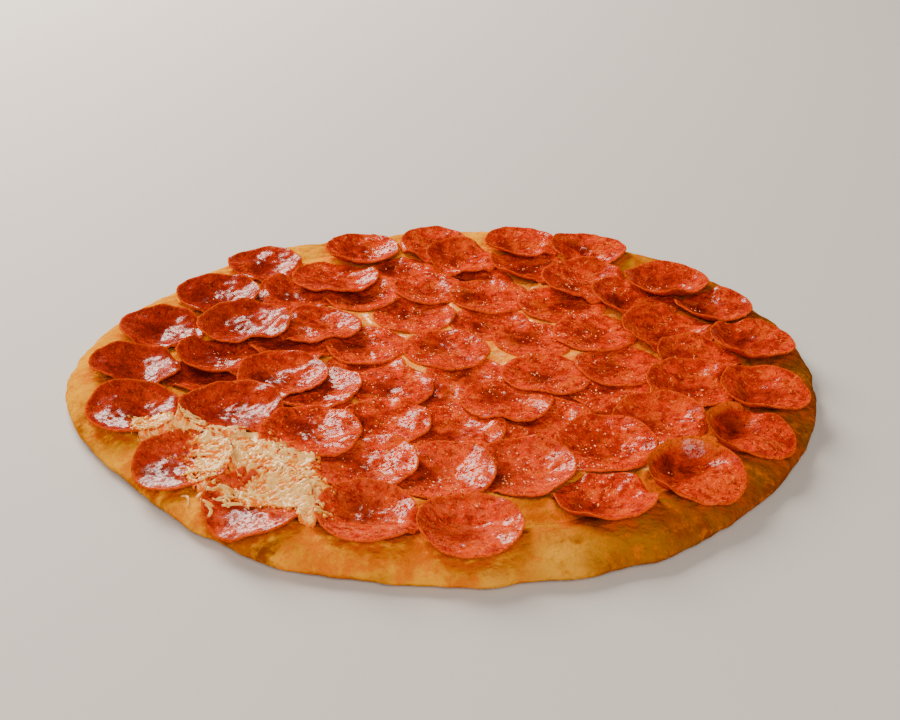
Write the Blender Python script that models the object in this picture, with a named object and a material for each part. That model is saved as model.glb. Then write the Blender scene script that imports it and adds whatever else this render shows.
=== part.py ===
"""Whole pepperoni pizza: a bread crust with a low puffy rim, melted cheese, and curled slices laid over it.

Metres, +Z up. The origin is the centre of the bounding box's bottom, on the crust's flat underside.
"""
import math

import bmesh
import bpy
import numpy as np
from mathutils import Vector, noise
from mathutils.bvhtree import BVHTree

MM = 0.001

# Crust
PIZZA_RADIUS = 169 * MM
CREST_RADIUS = 150 * MM
RIM_HEIGHT = 10.2 * MM
BASE_THICKNESS = 3.6 * MM
POCKET_RADIUS = 134 * MM
BLISTER_HEIGHT = 1.1 * MM
SEGMENTS = 80
CRUST_COLOUR = (0.72, 0.40, 0.10)

# Cheese
CHEESE_RADIUS = 145 * MM
CHEESE_LEVEL = 8.2 * MM
CHEESE_EDGE_THICKNESS = 1.2 * MM
CHEESE_RIPPLE = 0.7 * MM
RIPPLE_SCALE = 55.0
SHRED_HEAP = 2.6 * MM
SOFT_EDGE = 4 * MM
RING_SPACING = 12 * MM
GAP = 0.3 * MM
CHEESE_COLOUR = (0.93, 0.62, 0.22)

# Rings where the crust and the cheese meet: one in the middle, the others up the rim's inner slope
MIDDLE_RADIUS = 80 * MM
SLOPE_RADII = (128 * MM, POCKET_RADIUS, 140 * MM, CHEESE_RADIUS)

# Slices
SLICE_THICKNESS = 1.5 * MM
SLICE_SIDES = 16
INNER_RING = 0.62
LOW_WALL = 0.2
SLICE_STIFFNESS = 0.2
PRESSED_MARGIN = 7 * MM
SINK_REACH = 2.5 * MM
SLICE_COLOUR = (0.62, 0.10, 0.03)

# Resting
CELL = 1.25 * MM
FIELD_HALF = 185 * MM
SETTLE_ROUNDS = 12
CAST_HEIGHT = 100 * MM
DOWN = Vector((0, 0, -1))
POLYGON_REACH = 0.97

# The rim's rounded outer side, from the underside up: distance in from the edge, share of the rim's height
RIM_PROFILE = (
    (5.0 * MM, 0.0), (0.8 * MM, 0.14), (0.0, 0.32), (2.2 * MM, 0.56), (6.5 * MM, 0.77), (12.0 * MM, 0.92),
)

# The crust's outline swells and draws in: direction in degrees, push in mm, width in degrees
OUTLINE_LOBES = (
    (-175, 6.0, 20), (-140, -5.0, 15), (-112, 2.0, 6), (-92, 1.8, 9), (-65, 3.2, 13),
    (-30, -1.6, 14), (45, 3.5, 24), (100, -3.5, 20), (148, -3.0, 14),
)

# The rim's height varies: direction in degrees, share of the rim's height, width in degrees
RIM_SWELLS = (
    (-60, 0.22, 14), (-88, -0.08, 9), (-140, -0.05, 18), (-172, 0.22, 15),
    (-25, 0.08, 14), (90, -0.06, 60), (10, -0.06, 14),
)

# Slices in laying order: x, y, radius, height of the highest wall (all mm) and that wall's direction.
# The sunken ones lie deepest and show only between others: they are relief in the cheese.
SUNKEN_SLICES = (
    (-25, 102, 18, 0, 0), (20, 42, 19, 0, 0), (8, -12, 18, 0, 0), (-6, -38, 18, 0, 0),
    (-110, -16, 19, 0, 0), (57, -34, 18, 0, 0), (72, -24, 18.5, 0, 0), (-39, -6, 18, 0, 0),
    (16, 92, 17, 0, 0), (-58, -49, 17, 0, 0), (72, -54, 17, 0, 0), (25, -78, 17, 0, 0), (-87, 48, 17, 0, 0),
)
SLICES = (
    # Back left, from the rim inwards
    (-97, 104, 19, 3.5, 170), (-79, 69, 20, 3.0, 180), (-116, 65, 20.5, 3.5, 200), (-138, 26, 19.5, 3.0, 120),
    (-143, -15, 20, 5.5, 225), (-106, 0, 20, 3.0, 190), (-74, 14, 20, 3.5, 170), (-39, 16, 19, 3.0, 180),
    (-63, 33, 20, 4.0, 200), (-99, 31, 21.5, 6.0, 160), (-17, 50, 20, 3.0, 180), (-44, 74, 20, 3.0, 200),
    (-1, 12, 20, 3.5, 215),
    # Back row
    (-8, 134, 18.5, 4.0, 190), (7, 115, 19, 4.0, 200), (-59, 89, 21.5, 3.0, 200), (-10, 80, 18, 5.0, 200),
    (21, 72, 20, 5.0, 200), (42, 108, 20, 3.5, 215), (-47, 125, 19, 4.0, 190), (39, 135, 19.5, 3.5, 200),
    (75, 127, 20, 3.5, 200),
    # Middle left
    (-26, -26, 19, 3.5, 120), (-59, -29, 19.5, 3.0, 180), (-75, -21, 20, 3.5, 110),
    (-135, -56, 20.5, 6.0, 165), (-94, -53, 21.5, 3.5, 110),
    # Middle and right
    (41, 23, 19, 3.5, 150), (57, 63, 21.5, 3.5, 225), (71, 86, 22.5, 3.0, 225), (41, -57, 21.5, 3.0, 60),
    (3, -65, 21, 4.0, 150), (-28, -60, 20, 3.0, 60), (26, -40, 20, 4.0, 215), (45, -14, 20, 4.0, 215),
    (79, -3, 20, 3.5, 215), (71, 30, 20, 4.0, 220), (94, 66, 21.5, 3.5, 220), (106, 30, 21.5, 4.0, 215),
    (117, 1, 19, 3.5, 150), (110, -27, 20, 4.0, 170), (91, -59, 20, 3.5, 40),
    # Front, from the middle out
    (62, -124, 20, 4.5, 150), (66, -80, 21, 3.5, 30), (31, -99, 21, 3.5, 40), (-2, -102, 21, 3.5, 40),
    (-34, -95, 21.5, 3.5, 30), (-58, -71, 21.5, 4.0, 170), (-108, -97, 20, 4.0, 130),
    (-74, -129, 21, 3.5, 130), (-31, -137, 20, 5.0, 110), (9, -145, 20, 5.5, 130),
    # Right, from the front to the back
    (100, -108, 19.5, 9.0, 120), (128, -74, 18.5, 8.5, 145), (141, -35, 19.5, 5.5, 165),
    (144, 15, 19.5, 5.0, 200), (132, 57, 19, 4.0, 160), (112, 84, 21, 3.5, 215),
)

# Bare cheese at the front left lies in heaped shreds: x, y and radius in mm
SHRED_HEAPS = (
    (-126, -69, 15), (-90, -79, 14), (-70, -95, 17), (-58, -109, 12), (-102, -123, 12), (-54, -140, 9),
)


def bump(distance, width):
    """A round swell: one at no distance, falling smoothly away."""
    return math.exp(-(distance / width) ** 2)


def smooth_step(low, high, value):
    """Zero below low and one above high, with a smooth rise between."""
    share = min(max((value - low) / (high - low), 0.0), 1.0)
    return share * share * (3.0 - 2.0 * share)


def angle_between(a, b):
    """Degrees from one direction to another, the short way round."""
    return abs((a - b + 180.0) % 360.0 - 180.0)


def sum_of_swells(direction, swells):
    """Sum of the swells (place, size, width) at a direction in degrees."""
    return sum(size * bump(angle_between(direction, place), width) for place, size, width in swells)


def add_material(obj, colour, roughness):
    """Give an object its own plain material."""
    material = bpy.data.materials.new(obj.name + "_material")
    material.use_nodes = True
    shader = material.node_tree.nodes["Principled BSDF"]
    shader.inputs["Base Color"].default_value = (*colour, 1.0)
    shader.inputs["Roughness"].default_value = roughness
    shader.inputs["Metallic"].default_value = 0.0
    obj.data.materials.append(material)


def add_object(name, bm, collection, colour, roughness):
    """Turn a bmesh into a named, coloured object with its faces pointing out."""
    bmesh.ops.recalc_face_normals(bm, faces=bm.faces)
    mesh = bpy.data.meshes.new(name)
    bm.to_mesh(mesh)
    bm.free()
    obj = bpy.data.objects.new(name, mesh)
    collection.objects.link(obj)
    mesh.shade_smooth()
    mesh.set_sharp_from_angle(angle=math.radians(50))
    add_material(obj, colour, roughness)
    return obj


def turned_body(profile):
    """Turn a profile of (radius, height) points round the Z axis into one closed body."""
    bm = bmesh.new()
    points = [bm.verts.new((radius, 0.0, height)) for radius, height in profile]
    edges = [bm.edges.new(pair) for pair in zip(points, points[1:])]
    bmesh.ops.spin(bm, geom=points + edges, cent=(0, 0, 0), axis=(0, 0, 1), angle=math.tau,
                   steps=SEGMENTS, use_merge=True)
    bmesh.ops.remove_doubles(bm, verts=bm.verts, dist=0.00005)
    return bm


def shape_by_hand(point):
    """Move a point of the turned crust or cheese to where hand-stretched dough puts it."""
    radius = math.hypot(point.x, point.y)
    if radius < MM:
        return point.copy()
    direction = math.degrees(math.atan2(point.y, point.x))
    near_edge = smooth_step(0.5 * PIZZA_RADIUS, PIZZA_RADIUS, radius)
    reach = 1.0 + near_edge * sum_of_swells(direction, OUTLINE_LOBES) * MM / radius
    on_rim = smooth_step(POCKET_RADIUS, CREST_RADIUS, radius)
    lift = 1.0 + on_rim * sum_of_swells(direction, RIM_SWELLS)
    return Vector((point.x * reach, point.y * reach, point.z * lift))


def puff(point):
    """Height that the bread's blisters add on the rim, none where the cheese lies."""
    radius = math.hypot(point.x, point.y)
    bare = smooth_step(CHEESE_RADIUS, CHEESE_RADIUS + 8 * MM, radius)
    return bare * BLISTER_HEIGHT * noise.noise(Vector((point.x, point.y, 0.0)) * RIPPLE_SCALE)


def cheese_relief(x, y):
    """Height of the cheese's ripples, heaped shreds and sunken slices."""
    relief = CHEESE_RIPPLE * noise.noise(Vector((x, y, 0.05)) * RIPPLE_SCALE)
    for heap_x, heap_y, radius in SHRED_HEAPS:
        relief += SHRED_HEAP * bump(math.hypot(x - heap_x * MM, y - heap_y * MM), radius * MM)
    for slice_x, slice_y, radius, _, _ in SUNKEN_SLICES:
        distance = math.hypot(x - slice_x * MM, y - slice_y * MM)
        cover = 1.0 - smooth_step(radius * MM - SOFT_EDGE, radius * MM + SOFT_EDGE, distance)
        relief = max(relief, SLICE_THICKNESS * cover)
    return relief


def rim_slope(radius):
    """Height of the turned crust's inner slope, from the pocket's floor to the crest."""
    rise = smooth_step(POCKET_RADIUS - 6 * MM, CREST_RADIUS, radius)
    return BASE_THICKNESS + (RIM_HEIGHT - BASE_THICKNESS) * rise


def make_crust(collection):
    """The bread: a flat base with a shallow pocket for the cheese and a low rounded rim."""
    profile = [(0.0, 0.0)]
    profile += [(PIZZA_RADIUS - inset, share * RIM_HEIGHT) for inset, share in RIM_PROFILE]
    profile.append((CREST_RADIUS, RIM_HEIGHT))
    profile += [(radius, rim_slope(radius)) for radius in reversed(SLOPE_RADII)]
    profile += [(MIDDLE_RADIUS, BASE_THICKNESS), (0.0, BASE_THICKNESS)]
    bm = turned_body(profile)
    for vert in bm.verts:
        rises = vert.co.z > BASE_THICKNESS
        vert.co = shape_by_hand(vert.co)
        if rises:
            vert.co.z += puff(vert.co)
    return add_object("crust", bm, collection, CRUST_COLOUR, 0.7)


def make_cheese(collection):
    """The melted cheese, lying in the crust's pocket and thin at its edge."""
    profile = [(0.0, BASE_THICKNESS + GAP)]
    profile += [(radius, rim_slope(radius) + GAP) for radius in (MIDDLE_RADIUS, *SLOPE_RADII)]
    rings = int(SLOPE_RADII[0] / RING_SPACING)
    top_radii = [*reversed(SLOPE_RADII[:-1])] + [ring * RING_SPACING for ring in range(rings, 0, -1)]
    edge_top = rim_slope(CHEESE_RADIUS) + GAP + CHEESE_EDGE_THICKNESS
    profile.append((CHEESE_RADIUS, edge_top))
    for radius in top_radii:
        climb = smooth_step(POCKET_RADIUS - 8 * MM, CHEESE_RADIUS, radius)
        profile.append((radius, CHEESE_LEVEL + (edge_top - CHEESE_LEVEL) * climb))
    profile.append((0.0, CHEESE_LEVEL))
    bm = turned_body(profile)
    for vert in bm.verts:
        radius = math.hypot(vert.co.x, vert.co.y)
        on_top = vert.co.z > rim_slope(radius) + 2 * GAP
        inside = 1.0 - smooth_step(POCKET_RADIUS, CHEESE_RADIUS, radius)
        vert.co = shape_by_hand(vert.co)
        if on_top:
            vert.co.z += inside * cheese_relief(vert.co.x, vert.co.y)
    return add_object("cheese", bm, collection, CHEESE_COLOUR, 0.45)


def tree_of(obj):
    """A search tree of an object's mesh, in the object's own space."""
    bm = bmesh.new()
    bm.from_mesh(obj.data)
    tree = BVHTree.FromBMesh(bm)
    bm.free()
    return tree


class Surface:
    """Heights of all that has been laid so far, on a square grid of cells."""

    def __init__(self, objects):
        steps = int(2 * FIELD_HALF / CELL) + 1
        self.places = np.linspace(-FIELD_HALF, FIELD_HALF, steps)
        self.heights = np.zeros((steps, steps))
        trees = [tree_of(obj) for obj in objects]
        for row, y in enumerate(self.places):
            for column, x in enumerate(self.places):
                start = Vector((x, y, CAST_HEIGHT))
                hits = [tree.ray_cast(start, DOWN)[0] for tree in trees]
                self.heights[row, column] = max([hit.z for hit in hits if hit] + [0.0])

    def cells_near(self, x, y, reach):
        """Rows and columns of the cells within reach of a point."""
        rows = np.nonzero(abs(self.places - y) <= reach)[0]
        columns = np.nonzero(abs(self.places - x) <= reach)[0]
        grid_rows, grid_columns = np.meshgrid(rows, columns, indexing="ij")
        away = np.hypot(self.places[grid_columns] - x, self.places[grid_rows] - y)
        near = away <= reach
        return grid_rows[near], grid_columns[near]

    def highest_near(self, x, y, reach):
        """The highest cell within reach of a point."""
        rows, columns = self.cells_near(x, y, reach)
        return self.heights[rows, columns].max()

    def plane_under(self, x, y, radius):
        """Level and slopes of the plane that fits the cells under a disc."""
        rows, columns = self.cells_near(x, y, radius)
        across = self.places[columns] - x
        along = self.places[rows] - y
        system = np.stack([np.ones(len(rows)), across, along], axis=1)
        return np.linalg.lstsq(system, self.heights[rows, columns], rcond=None)[0]

    def cover(self, tree, x, y, radius):
        """Raise the cells under a slice to its upper face."""
        rows, columns = self.cells_near(x, y, radius + CELL)
        for row, column in zip(rows, columns):
            start = start_inside(self.places[column] - x, self.places[row] - y, radius)
            hit = tree.ray_cast(start, DOWN)[0]
            if hit:
                self.heights[row, column] = max(self.heights[row, column], hit.z)


def slice_sheet(radius):
    """A flat open disc: a middle point, one inner ring and the rim."""
    bm = bmesh.new()
    bmesh.ops.create_circle(bm, cap_ends=True, radius=radius, segments=SLICE_SIDES)
    bmesh.ops.inset_region(bm, faces=bm.faces[:], use_boundary=True, thickness=(1.0 - INNER_RING) * radius)
    bmesh.ops.poke(bm, faces=[face for face in bm.faces if len(face.verts) > 4])
    bmesh.ops.triangulate(bm, faces=bm.faces[:])
    return bm


def wall_share(x, y, later):
    """How free a point of a slice is to curl: none where a later slice presses on it."""
    free = 1.0
    for other_x, other_y, other_radius, _, _ in later:
        depth = other_radius * MM - math.hypot(x - other_x * MM, y - other_y * MM)
        free = min(free, 1.0 - smooth_step(-PRESSED_MARGIN, 0.0, depth))
    return free


def lay_slice(name, laid, later, surface, collection):
    """Lay one slice on the surface: it follows what lies below it, and its free rim curls up."""
    x, y, radius, wall = (value * MM for value in laid[:4])
    highest_wall = math.radians(laid[4])
    level, slope_x, slope_y = surface.plane_under(x, y, radius)
    bm = slice_sheet(radius)
    for vert in bm.verts:
        across, along = vert.co.x, vert.co.y
        share = math.hypot(across, along) / radius
        flat = level + slope_x * across + slope_y * along
        soft = surface.highest_near(x + across, y + along, SINK_REACH)
        towards = 0.5 + 0.5 * math.cos(math.atan2(along, across) - highest_wall)
        curl = wall * (LOW_WALL + (1.0 - LOW_WALL) * towards) * share ** 3
        free = wall_share(x + across, y + along, later)
        vert.co.z = SLICE_STIFFNESS * flat + (1.0 - SLICE_STIFFNESS) * soft + curl * free
    settle(bm, x, y, radius, surface)
    bmesh.ops.recalc_face_normals(bm, faces=bm.faces)
    top = bmesh.ops.extrude_face_region(bm, geom=bm.faces[:], use_keep_orig=True)
    for item in top["geom"]:
        if isinstance(item, bmesh.types.BMVert):
            item.co.z += SLICE_THICKNESS
    obj = add_object(name, bm, collection, SLICE_COLOUR, 0.35)
    obj.location = (x, y, 0.0)
    surface.cover(tree_of(obj), x, y, radius)
    return obj


def settle(bm, x, y, radius, surface):
    """Lift the slice's points until it clears all that lies below by the gap."""
    rows, columns = surface.cells_near(x, y, radius + CELL)
    for _ in range(SETTLE_ROUNDS):
        bm.verts.ensure_lookup_table()
        bm.faces.ensure_lookup_table()
        tree = BVHTree.FromBMesh(bm)
        lifts = {}
        for row, column in zip(rows, columns):
            start = start_inside(surface.places[column] - x, surface.places[row] - y, radius)
            hit, _, face, _ = tree.ray_cast(start, DOWN)
            if hit is None:
                continue
            short = surface.heights[row, column] + GAP - hit.z
            if short > 0.0:
                for vert in bm.faces[face].verts:
                    lifts[vert.index] = max(lifts.get(vert.index, 0.0), short)
        if not lifts:
            return
        for index, lift in lifts.items():
            bm.verts[index].co.z += lift


def start_inside(across, along, radius):
    """Start of a downward ray over a slice, pulled inside its polygon where the point lies just outside."""
    inside = min(1.0, POLYGON_REACH * radius / max(math.hypot(across, along), CELL))
    return Vector((across * inside, along * inside, CAST_HEIGHT))


def recentre(objects):
    """Move all the solids so that the origin is the centre of the box's bottom."""
    corners = np.array([obj.location + vert.co for obj in objects for vert in obj.data.vertices])
    low, high = corners.min(axis=0), corners.max(axis=0)
    shift = Vector((-(low[0] + high[0]) / 2, -(low[1] + high[1]) / 2, -low[2]))
    for obj in objects:
        obj.location += shift


def main():
    """Build the pizza."""
    for obj in list(bpy.data.objects):
        bpy.data.objects.remove(obj, do_unlink=True)
    collection = bpy.data.collections.new("pepperoni_pizza")
    bpy.context.scene.collection.children.link(collection)
    crust = make_crust(collection)
    cheese = make_cheese(collection)
    surface = Surface([crust, cheese])
    solids = [crust, cheese]
    for number, laid in enumerate(SLICES):
        name = f"pepperoni_{number + 1:02d}"
        solids.append(lay_slice(name, laid, SLICES[number + 1:], surface, collection))
    recentre(solids)


main()
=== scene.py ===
"""The looks of a whole pepperoni pizza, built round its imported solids.

Metres, +Z up, in the frame of the solids. Every piece follows the solid that it stands for: the bread and
the cheese are finer copies of theirs, and each slice of pepperoni is laid again, in the same order, over
what lies below it.
"""

import math

import bmesh
import bpy
import numpy as np
from mathutils import Matrix, Vector
from mathutils.bvhtree import BVHTree


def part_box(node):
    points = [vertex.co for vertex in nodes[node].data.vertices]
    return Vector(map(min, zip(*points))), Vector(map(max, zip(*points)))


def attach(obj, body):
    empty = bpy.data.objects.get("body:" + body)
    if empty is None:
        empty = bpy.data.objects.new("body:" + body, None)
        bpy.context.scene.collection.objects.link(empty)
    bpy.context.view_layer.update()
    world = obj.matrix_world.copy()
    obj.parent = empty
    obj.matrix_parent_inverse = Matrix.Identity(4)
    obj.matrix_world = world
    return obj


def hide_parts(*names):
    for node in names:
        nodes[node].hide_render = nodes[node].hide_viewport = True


MM = 0.001
BODY = "root"

# Camera: a 60 mm lens on a 36 mm sensor
LENS = 60.0
SENSOR = 36.0
CAMERA_ELEVATION = 27.0
CAMERA_ROLL = 0.34
CAMERA_DISTANCE = 720.9 * MM
AIM = Vector((3.49, 20.67, 0.0)) * MM

# Height fields
CELL = 0.8 * MM
FIELD_HALF = 184 * MM
RAY_HEIGHT = 100 * MM

# The pizza's middle
MIDDLE = Vector((2.8, 2.1, 0.0)) * MM

# Slices: their mesh, and the rays that probe a solid's form, as shares of its radius
SLICE_THICKNESS = 1.15 * MM
SLICE_SIDES = 90
SLICE_RINGS = 26
UNDER_RINGS = 6
PROBE_SIDES = 24
PROBE_SHARES = (0.0, 0.31, 0.62, 0.8, 0.955)
FIT_DEGREE = 5

# How high a slice lies on what is below it, and how high its rim stands
LIP_HEIGHT = 0.35 * MM
INNER_CUP = 0.4 * MM
INNER_STEP = 0.55 * MM
OUTER_STEP = 0.95 * MM
OUTER_CUP = 2.9 * MM
TALL_WALL = (6.3 * MM, 7.1 * MM)
CRISP_WALL = (3.5 * MM, 6.5 * MM)
PRESS_DEPTHS = (-6 * MM, -0.5 * MM)
SINK_DEPTH = 1.6 * MM
SINK_SHARE = 0.9

# How a slice's outline departs from a circle, and how it drapes. WALL_REACH counts points along the rim.
SPREAD = 1.04
WOBBLE = 0.014
OVALNESS = 0.02
WINDOW_SHARE = 1.13
CURL_SHARE = 1.05
WALL_REACH = 6
LIFT_ROUNDS = 6
LIFT_WIDTH = 1.2 * MM
DRAPE_WIDTH = 2.6 * MM
DRAPE_ROUNDS = 8
RIPPLE_DEPTH = 0.12 * MM

# Painted shade in the slices' hollows, partly pooled oil, as shares of the radius, and where it lies in the
# crisp ones
SHADE_POOL_SPREAD = 0.55
CRISP_SHADE_POOL = (-0.4, 0.45)
CRISP_SHARES = (0.87, 0.94)

# A slice's rim, as shares of its radius: where the solid's wall is measured, where the top ends, and the
# rounded edge as radius and depth. The attribute "rim" is UNDERSIDE below the top.
RIM_SHARE = 0.95
TOP_SHARE = 0.965
EDGE_PROFILE = ((0.985, 0.10), (0.997, 0.30), (1.0, 0.52), (0.995, 0.76), (0.98, 0.93), (0.96, 1.0))
UNDERSIDE = 2.0

# Where the slices change from lying flat to curling up, from red to maroon, to painted shade at the right,
# and
# to pink that is partly painted sheen: distances from the origin, or places along x or y
OUTER_RADII = (80 * MM, 118 * MM)
OUTER_LEFT = (30 * MM, 90 * MM)
MAROON_LEFT = (-20 * MM, -120 * MM)
SHADED_RIGHT = (60 * MM, 140 * MM)
PINK_SHEEN_FRONT = (-60 * MM, -120 * MM)
PINK_SHEEN_END = 60 * MM

# Melted cheese fills the space under the slices up to this far below the solids' upper face
CHEESE_SOFTNESS = 2 * MM
LEAST_WEIGHT = 0.05
FILL_DEPTH = 3.2 * MM
FILL_SOFTNESS = 9 * MM
FILL_RADII = (122 * MM, 140 * MM)

# Its lumps, as height in mm, size and seed, and how high they are under the slices and where it lies bare
CHEESE_LUMPS = ((0.5, 7 * MM, 11), (0.35, 4.5 * MM, 12), (0.2, 2.4 * MM, 13))
COVERED_LUMPS = 0.6
BARE_LUMPS = 1.5

# It wells up in the gaps to BRIM_DEPTH below the slices
TOUCH_HEIGHT = 0.3 * MM
BRIM_DEPTH = 0.75 * MM
BRIM_WIDTH = 2.4 * MM
GAP_WIDTH = 1.0 * MM
MOST_WELLING = 1.8 * MM
UNDER_SLICES = 0.5 * MM
WELL_RADII = (128 * MM, 142 * MM)

# It thins out over the bread, and takes on the bread's colour
TAPER_RADII = (126 * MM, 134 * MM)
THIN_RADII = (134 * MM, 143 * MM)
THIN_WANDER = 4 * MM
LEAST_CHEESE = 0.3 * MM
EDGE_DEPTH = 0.4 * MM
BREADY_RADII = (108 * MM, 126 * MM)
EDGE_SEARCH = (120 * MM, 160 * MM)
CHEESE_APRON = 2 * MM
CHEESE_SIDES = 420
CHEESE_RINGS = 120
UNDER_INSET = 0.995

# Orange oil fades away from the slices over this distance
OIL_REACH = 4.5 * MM

# Slices so deep that they show only between others, as x, y and radius in mm. The solid cheese has them as
# relief, SUNKEN_DEPTH thick and soft over SUNKEN_EDGE mm on each side of their edge.
SUNKEN_DEPTH = 1.5 * MM
SUNKEN_EDGE = 4
SUNKEN_SLICES = (
    (-22, 104, 18), (23, 44, 19), (11, -10, 18), (-3, -36, 18), (-107, -14, 19), (60, -32, 18),
    (75, -22, 18.5), (-36, -4, 18), (19, 94, 17), (-55, -47, 17), (75, -52, 17), (28, -76, 17),
    (-84, 50, 17),
)

# A skin of half-melted cheese with wavy ridges, which run in two directions, in radians
VEIL_CELL = 0.42 * MM
VEIL_BOX = (-140 * MM, -150 * MM, -30 * MM, -50 * MM)
VEIL_TOP = 1.4 * MM
VEIL_CUT = -0.4 * MM
VEIL_DIP = 3 * MM
VEIL_END = (150 * MM, 158 * MM)
VEIL_SOFTNESS = 1.6 * MM
VEIL_SINK = 0.6 * MM
VEIL_BREAKS = ((0.3, 3.5 * MM, 81), (0.28, 1.5 * MM, 82))
RIDGE_TURNS = (0.35, -0.7)
RIDGE_BEND = 2.0 * MM
RIDGE_LENGTH = 4 * MM
RIDGE_WIDTH = 1.15 * MM

# Loose shreds on it, in mm, and the places where both lie as x, y and radius
SHREDS = 90
SHRED_SIDES = 8
SHRED_LENGTHS = (3, 9)
SHRED_WIDTHS = (0.4, 0.8)
SHRED_LIFT = 0.8 * MM
SHRED_PATCHES = (
    (-122, -66, 11), (-110, -68, 9), (-92, -82, 12), (-78, -90, 14), (-66, -99, 15), (-62, -114, 13),
    (-92, -96, 11), (-54, -123, 9), (-98, -117, 9), (-88, -124, 8), (-72, -120, 9), (-50, -137, 6),
)

# Beads of oil, in mm: their number, where they may lie, their smallest radius and how much larger they get
DROPS = 2600
DROP_X = (-140, 150)
DROP_Y = (-140, 140)
DROP_REACH = 138 * MM
DROP_RADIUS = 0.2
DROP_GROWTH = 0.42
DROP_SIDES = 8
DROP_RINGS = ((1.0, -0.1), (0.82, 0.42), (0.45, 0.72))
DROP_TOP = 0.8

# Where white cheese lies bare: x, y and radius in mm
BARE_PATCHES = (
    (-122, -67, 11), (-108, -64, 9), (-88, -80, 14), (-72, -96, 15), (-57, -100, 12), (-50, -120, 10),
    (-62, -117, 12), (-106, -121, 9), (-93, -128, 8), (-48, -139, 7), (122, -50, 6), (84, -93, 5),
)

# The bare bread: where it starts and where it puffs up, as distances from the middle and heights
JOIN_DISTANCE = 0.02 * MM
JOIN_ANGLE = math.radians(60)
CRUST_LEVELS = 3
BARE_RADII = (138 * MM, 150 * MM)
BARE_HEIGHTS = (0.3 * MM, 2.5 * MM)
PUFF_DEPTH_MM = 0.9
PUFF_RADII = (146 * MM, 156 * MM)
PUFF_HEIGHTS = (1.0 * MM, 5 * MM)
# Heights over which the painted shade at the bread's base fades out
LOW_SHADE_HEIGHTS = (0.8 * MM, 5.5 * MM)

# Burst bubbles in the crust, and its colours: the directions of its lit side, toned down with painted
# shade, and of its darker side, partly baked and partly painted shade, and cream, oily and toasted places,
# as x, y and radius in mm
LIT_SIDE = math.radians(155)
BAKED_AND_SHADED_SIDE = math.radians(-15)
DENT_DEPTH_MM = 1.6
DENTS = ((-147, -13, 1.5), (52, -150, 2.2), (-30, 163, 1.8))
CREAM_SPOTS = ((45, -161, 14), (20, -168, 8), (-148, -4, 8))
OIL_SPOTS = ((-108, -110, 11), (-119, -96, 7), (100, -116, 9), (60, -134, 8))
TOAST_SPOTS = (
    (-6, -176, 9), (-22, -172, 8), (-66, -155, 14), (-84, -147, 9), (58, -140, 7), (66, -163, 11),
    (92, -139, 12), (118, -122, 14), (146, -86, 14), (-158, -58, 6), (33, -170, 6), (160, -30, 12),
    (-60, 150, 16), (90, 140, 16),
)

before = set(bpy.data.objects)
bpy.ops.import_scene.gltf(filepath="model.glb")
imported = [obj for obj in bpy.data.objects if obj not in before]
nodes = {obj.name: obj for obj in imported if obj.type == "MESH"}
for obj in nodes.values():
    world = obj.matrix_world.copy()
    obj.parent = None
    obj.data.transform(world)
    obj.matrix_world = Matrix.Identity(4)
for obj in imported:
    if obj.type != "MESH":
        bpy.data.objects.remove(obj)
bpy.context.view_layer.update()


# Fields and noise

def smooth_step(low, high, value):
    """Zero below low and one above high, with a smooth rise between."""
    share = np.clip((value - low) / (high - low), 0.0, 1.0)
    return share * share * (3.0 - 2.0 * share)


def blur(field, width):
    """Soften a field over a width given in metres."""
    reach = max(1, int(round(2.5 * width / CELL)))
    steps = np.arange(-reach, reach + 1) * CELL
    kernel = np.exp(-0.5 * (steps / width) ** 2)
    kernel /= kernel.sum()
    padded = np.pad(field, reach, mode="edge")
    rows = sum(k * padded[i:i + field.shape[0], :] for i, k in enumerate(kernel))
    return sum(k * rows[:, i:i + field.shape[1]] for i, k in enumerate(kernel))


def soft_mean(heights, cover, width, least=LEAST_WEIGHT):
    """Soften heights over a width, counting only the covered cells, and the weight of those."""
    weight = blur(cover.astype(float), width)
    return blur(np.where(cover, heights, 0.0), width) / np.maximum(weight, least), weight


class Noise:
    """Smooth random hills of about one size, the same at every call with the same place."""

    def __init__(self, size, seed):
        self.size = size
        self.cells = 64
        self.values = np.random.default_rng(seed).uniform(-1.0, 1.0, (self.cells, self.cells))

    def __call__(self, x, y):
        u = np.asarray(x) / self.size
        v = np.asarray(y) / self.size
        column = np.floor(u).astype(int)
        row = np.floor(v).astype(int)
        across = u - column
        along = v - row
        across = across ** 3 * (across * (across * 6.0 - 15.0) + 10.0)
        along = along ** 3 * (along * (along * 6.0 - 15.0) + 10.0)
        c0, c1 = column % self.cells, (column + 1) % self.cells
        r0, r1 = row % self.cells, (row + 1) % self.cells
        low = self.values[r0, c0] * (1.0 - across) + self.values[r0, c1] * across
        high = self.values[r1, c0] * (1.0 - across) + self.values[r1, c1] * across
        return low * (1.0 - along) + high * along


def hills(x, y, layers):
    """Several sizes of noise together, each given as its height, its size and its seed."""
    return sum(height * Noise(size, seed)(x, y) for height, size, seed in layers)


def around(noise, angle, shift):
    """Noise that closes on itself round a circle. The shift picks another stretch of it."""
    return noise(np.cos(angle) + shift, np.sin(angle) + shift)


def from_middle(x, y):
    """Distance from the pizza's middle."""
    return np.hypot(x - MIDDLE.x, y - MIDDLE.y)


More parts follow.
